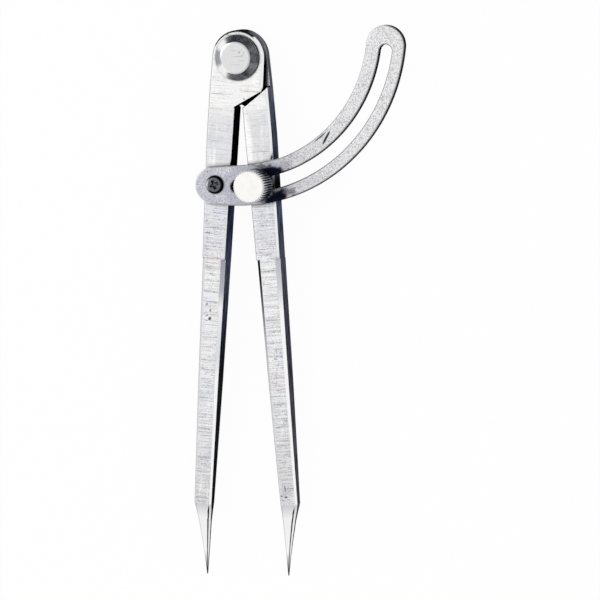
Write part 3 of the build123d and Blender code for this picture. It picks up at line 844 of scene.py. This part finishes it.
# a turned screw: a profile of (radius, threaded, height) points is spun round; points with
# threaded at 1 climb by a pitch a turn, the rim is cut by straight knurls, and the top has a
# cross recess
def lathe():
    tree, given = startTree("lathe", {
        "Around": 48, "Place": (0, 0, 0), "Turn": (0, 0, 0), "Finish": None,
        "Pitch": 0.7 * mm, "Thread Low": 0.0, "Thread High": 1.0, "End Radius": 1.0,
        "Rim Radius": 1.0, "Knurl Depth": 0.0, "Knurl Count": 1.0,
        "Recess Depth": 0.0, "Recess Width": 0.0, "Recess Reach": 0.0, "Recess Slope": 0.1 * mm,
        "Recess From": 1.0,
    })
    size = put(tree, "GeometryNodeAttributeDomainSize", {"Geometry": given["Geometry"]}).outputs
    rows = size["Point Count"]
    columns = put(tree, "ShaderNodeMath", {0: given["Around"], 1: 1.0}).outputs[0]
    grid = put(tree, "GeometryNodeMeshGrid",
               {"Size X": 1.0, "Size Y": 1.0, "Vertices X": columns, "Vertices Y": rows})
    index = put(tree, "GeometryNodeInputIndex").outputs[0]
    row = put(tree, "ShaderNodeMath", {0: index, 1: rows}, operation="MODULO").outputs[0]
    share = index                            # of a turn, the same up each column
    for operation, value in (("DIVIDE", rows), ("FLOOR", 0.0), ("DIVIDE", given["Around"])):
        share = put(tree, "ShaderNodeMath", {0: share, 1: value}, operation=operation).outputs[0]
    angle = put(tree, "ShaderNodeMath", {0: share, 1: 2 * math.pi}, operation="MULTIPLY").outputs[0]
    position = put(tree, "GeometryNodeInputPosition").outputs[0]
    point = put(tree, "GeometryNodeSampleIndex",
                {"Geometry": given["Geometry"], "Value": position, "Index": row}, data_type="FLOAT_VECTOR")
    part = put(tree, "ShaderNodeSeparateXYZ", {0: point.outputs[0]}).outputs
    climb = put(tree, "ShaderNodeMath", {0: share, 1: given["Pitch"]}, operation="MULTIPLY").outputs[0]
    climbed = put(tree, "ShaderNodeMath", {0: climb, 1: part["Z"]}).outputs[0]
    climbed = put(tree, "ShaderNodeClamp",
                  {"Value": climbed, "Min": given["Thread Low"], "Max": given["Thread High"]}).outputs[0]
    height = put(tree, "GeometryNodeSwitch",
                 {"Switch": part["Y"], "False": part["Z"], "True": climbed}, input_type="FLOAT").outputs[0]
    # pointed end of the thread
    radius = height
    for operation, value in (("SUBTRACT", given["Thread Low"]), ("ADD", given["End Radius"]),
                             ("MINIMUM", part["X"])):
        radius = put(tree, "ShaderNodeMath", {0: radius, 1: value}, operation=operation).outputs[0]
    # knurls: narrow grooves between rounded ridges
    wave = angle
    for operation, value in (("MULTIPLY", given["Knurl Count"]), ("MULTIPLY", 0.5), ("COSINE", 0.0),
                             ("ABSOLUTE", 0.0), ("POWER", grooveSharpness)):
        wave = put(tree, "ShaderNodeMath", {0: wave, 1: value}, operation=operation).outputs[0]
    groove = put(tree, "ShaderNodeMath", {0: wave, 1: given["Knurl Depth"]}, operation="MULTIPLY").outputs[0]
    rim = put(tree, "ShaderNodeMath", {0: given["Rim Radius"], 1: groove}, operation="SUBTRACT").outputs[0]
    radius = put(tree, "ShaderNodeMath", {0: radius, 1: rim}, operation="MINIMUM").outputs[0]
    flat = put(tree, "ShaderNodeCombineXYZ", {"X": radius, "Z": height}).outputs[0]
    spun = put(tree, "ShaderNodeVectorRotate", {"Vector": flat, "Angle": angle},
               rotation_type="Z_AXIS").outputs[0]
    # cross recess: deep along both arms, up to the arms' reach
    part = put(tree, "ShaderNodeSeparateXYZ", {0: spun}).outputs
    across = put(tree, "ShaderNodeMath", {0: part["X"]}, operation="ABSOLUTE").outputs[0]
    upwards = put(tree, "ShaderNodeMath", {0: part["Y"]}, operation="ABSOLUTE").outputs[0]
    off = put(tree, "ShaderNodeMath", {0: across, 1: upwards}, operation="MINIMUM").outputs[0]
    out = put(tree, "ShaderNodeMath", {0: across, 1: upwards}, operation="MAXIMUM").outputs[0]
    inArm = put(tree, "ShaderNodeMath", {0: given["Recess Width"], 1: off}, operation="SUBTRACT").outputs[0]
    inReach = put(tree, "ShaderNodeMath", {0: given["Recess Reach"], 1: out}, operation="SUBTRACT").outputs[0]
    inside = put(tree, "ShaderNodeMath", {0: inArm, 1: inReach}, operation="MINIMUM").outputs[0]
    inside = put(tree, "ShaderNodeMath", {0: inside, 1: given["Recess Slope"]}, operation="DIVIDE").outputs[0]
    inside = put(tree, "ShaderNodeClamp", {"Value": inside}).outputs[0]
    onTop = put(tree, "ShaderNodeMath", {0: part["Z"], 1: given["Recess From"]},
                operation="GREATER_THAN").outputs[0]
    sunk = put(tree, "ShaderNodeMath", {0: inside, 1: given["Recess Depth"]}, operation="MULTIPLY").outputs[0]
    sunk = put(tree, "ShaderNodeMath", {0: sunk, 1: onTop}, operation="MULTIPLY").outputs[0]
    lower = put(tree, "ShaderNodeMath", {0: part["Z"], 1: sunk}, operation="SUBTRACT").outputs[0]
    spun = put(tree, "ShaderNodeCombineXYZ", {"X": part["X"], "Y": part["Y"], "Z": lower}).outputs[0]
    shell = put(tree, "GeometryNodeSetPosition", {"Geometry": grid.outputs[0], "Position": spun}).outputs[0]
    shell = put(tree, "GeometryNodeMergeByDistance", {"Geometry": shell, "Distance": weldDistance}).outputs[0]
    shell = put(tree, "GeometryNodeTransform",
                {"Geometry": shell, "Translation": given["Place"], "Rotation": given["Turn"]}).outputs[0]
    shell = put(tree, "GeometryNodeRealizeInstances", {"Geometry": shell}).outputs[0]
    shell = put(tree, "GeometryNodeSetMaterial", {"Geometry": shell, "Material": given["Finish"]}).outputs[0]
    put(tree, "NodeGroupOutput", {"Geometry": shell})
    return tree


# runs a tree on a piece with these input values, and gives back a plain mesh object
def grow(name, source, tree, values):
    piece = bpy.data.objects.new(name, source)
    bpy.context.scene.collection.objects.link(piece)
    modifier = piece.modifiers.new("grow", "NODES")
    modifier.node_group = tree
    for item in tree.interface.items_tree:
        if item.in_out == "INPUT" and item.name in values:
            modifier[item.identifier] = values[item.name]
    graph = bpy.context.evaluated_depsgraph_get()
    mesh = bpy.data.meshes.new_from_object(piece.evaluated_get(graph))
    piece.modifiers.remove(modifier)
    piece.data = mesh
    return piece


def profile(name, points):
    mesh = bpy.data.meshes.new(name)
    mesh.from_pydata([(r * mm, threaded, z * mm) for r, threaded, z in points], [], [])
    return mesh


# what both screws share: M4 threads, in millimetres
threadForm = {
    "pitch": 0.7,
    "rootRadius": 1.6,
    "endChamfer": 0.3,
    "rootEnd": 0.12,                         # shares of the pitch: where the root's flat ends,
    "crestStart": 0.44,                      # and between which the crest is flat
    "crestEnd": 0.68,
}


# the middle of a screw's end, and the points up its thread, which start a turn below the end
def threadPoints(screw, form):
    pitch, root, crest = form["pitch"], form["rootRadius"], screw["threadRadius"]
    points = [(0, 0, screw["end"])]
    turns = int((screw["threadTop"] - screw["end"]) / pitch) + 3
    for i in range(turns):
        foot = screw["end"] + (i - 1) * pitch
        points += [(root, 1, foot), (root, 1, foot + form["rootEnd"] * pitch),
                   (crest, 1, foot + form["crestStart"] * pitch), (crest, 1, foot + form["crestEnd"] * pitch)]
    return points


# the lathe's inputs for a screw's place, thread and finish
def screwInputs(screw, form, finish):
    x, y = screw["pin"]
    return {
        "Around": screw["stepsAround"],
        "Pitch": form["pitch"] * mm,
        "Thread Low": screw["end"] * mm,
        "Thread High": screw["threadTop"] * mm,
        "End Radius": (form["rootRadius"] - form["endChamfer"]) * mm,
        "Place": (x * mm, y * mm, 0.0),
        "Turn": (0.0, 0.0, screw["turn"]),
        "Finish": finish,
    }


spinner = lathe()

# thumb screw: heights from the bench, in millimetres
thumbScrew = {
    "pin": clampPin,
    "turn": legTurn,
    "end": 4.0, "threadTop": 9.1, "headRear": 14.7, "headFront": 24.7,
    "threadRadius": 1.99, "neckRadius": 1.7, "headRadius": 6.5,
    "bevel": 0.7, "bevelSteps": 5,
    "knurls": 40, "knurlDepth": 0.40,
    "stepsAround": 320,                      # eight to a knurl
    "sharpAngle": 30 * degree,
}


def addThumbScrew(t, finish):
    points = threadPoints(t, threadForm)
    points += [(t["neckRadius"], 0, t["threadTop"]), (t["neckRadius"], 0, t["headRear"])]
    steps = t["bevelSteps"]
    for i in range(steps + 1):
        cut = t["bevel"] * (1 - i / steps)
        points.append((t["headRadius"] - cut, 0, t["headRear"] + t["bevel"] - cut))
    for i in range(steps + 1):
        cut = t["bevel"] * i / steps
        points.append((t["headRadius"] - cut, 0, t["headFront"] - t["bevel"] + cut))
    points.append((0, 0, t["headFront"]))
    piece = grow("knurledThumbScrew", profile("thumbScrewProfile", points), spinner, {
        **screwInputs(t, threadForm, finish),
        "Rim Radius": t["headRadius"] * mm,
        "Knurl Depth": t["knurlDepth"] * mm,
        "Knurl Count": float(t["knurls"]),
    })
    piece.data.set_sharp_from_angle(angle=t["sharpAngle"])
    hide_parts("clamp_screw")
    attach(piece, "clamp_screw")


# wing screw: heights from the bench, in millimetres
wingScrew = {
    "pin": wingPin,
    "turn": 22 * degree,                     # of its cross
    "end": 4.0, "threadTop": 11.0, "headRear": 13.65, "headFront": 14.95,
    "threadRadius": 1.98, "shoulderRadius": 2.5, "headRadius": 3.5,
    "edge": 0.45,                            # height of the head's straight edge
    "dome": 1.40, "domeSteps": 6,            # how far in the head's rounded shoulder reaches
    "faceSteps": 22,
    "crossLength": 3.6, "crossWidth": 0.9, "crossDepth": 0.9, "crossSlope": 0.3,
    "faceMargin": 0.01,                      # how near the front a point counts as on the face
    "stepsAround": 96,
    "sharpAngle": 40 * degree,
}


def addWingScrew(w, finish):
    points = threadPoints(w, threadForm)
    points += [(threadForm["rootRadius"], 0, w["threadTop"]), (w["shoulderRadius"], 0, w["threadTop"]),
               (w["shoulderRadius"], 0, w["headRear"]), (w["headRadius"], 0, w["headRear"])]
    rise = w["headFront"] - w["headRear"] - w["edge"]
    for i in range(w["domeSteps"] + 1):
        a = 90 * degree * i / w["domeSteps"]
        points.append((w["headRadius"] - w["dome"] * (1 - math.cos(a)), 0,
                       w["headRear"] + w["edge"] + rise * math.sin(a)))
    faceRadius = w["headRadius"] - w["dome"]
    for i in range(1, w["faceSteps"] + 1):
        points.append((faceRadius * (1 - i / w["faceSteps"]), 0, w["headFront"]))
    piece = grow("blackCrossScrew", profile("wingScrewProfile", points), spinner, {
        **screwInputs(w, threadForm, finish),
        "Recess Depth": w["crossDepth"] * mm,
        "Recess Width": (w["crossWidth"] + w["crossSlope"]) / 2 * mm,
        "Recess Reach": w["crossLength"] / 2 * mm,
        "Recess Slope": w["crossSlope"] * mm,
        "Recess From": (w["headFront"] - w["faceMargin"]) * mm,
    })
    piece.data.set_sharp_from_angle(angle=w["sharpAngle"])
    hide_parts("wing_screw")
    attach(piece, "left_leg")


dress("left_leg", groundSteel("groundSteelLeft", leftLeg, legFinish))
dress("right_leg", groundSteel("groundSteelRight", rightLeg, legFinish))
dress("wing", plateSteel("plateSteel", wingFinish))
turned = turnedSteel("turnedSteel", rivetFinish)
for nodeName in ("joint_rivet", "joint_collar"):
    dress(nodeName, turned)
dress("clamp_washer", turnedSteel("washerSteel", washerFinish))
print("solids dressed")

addThumbScrew(thumbScrew, turnedSteel("nickelPlate", knobFinish))
addWingScrew(wingScrew, turnedSteel("blackSteel", blackFinish))
print("screws made")
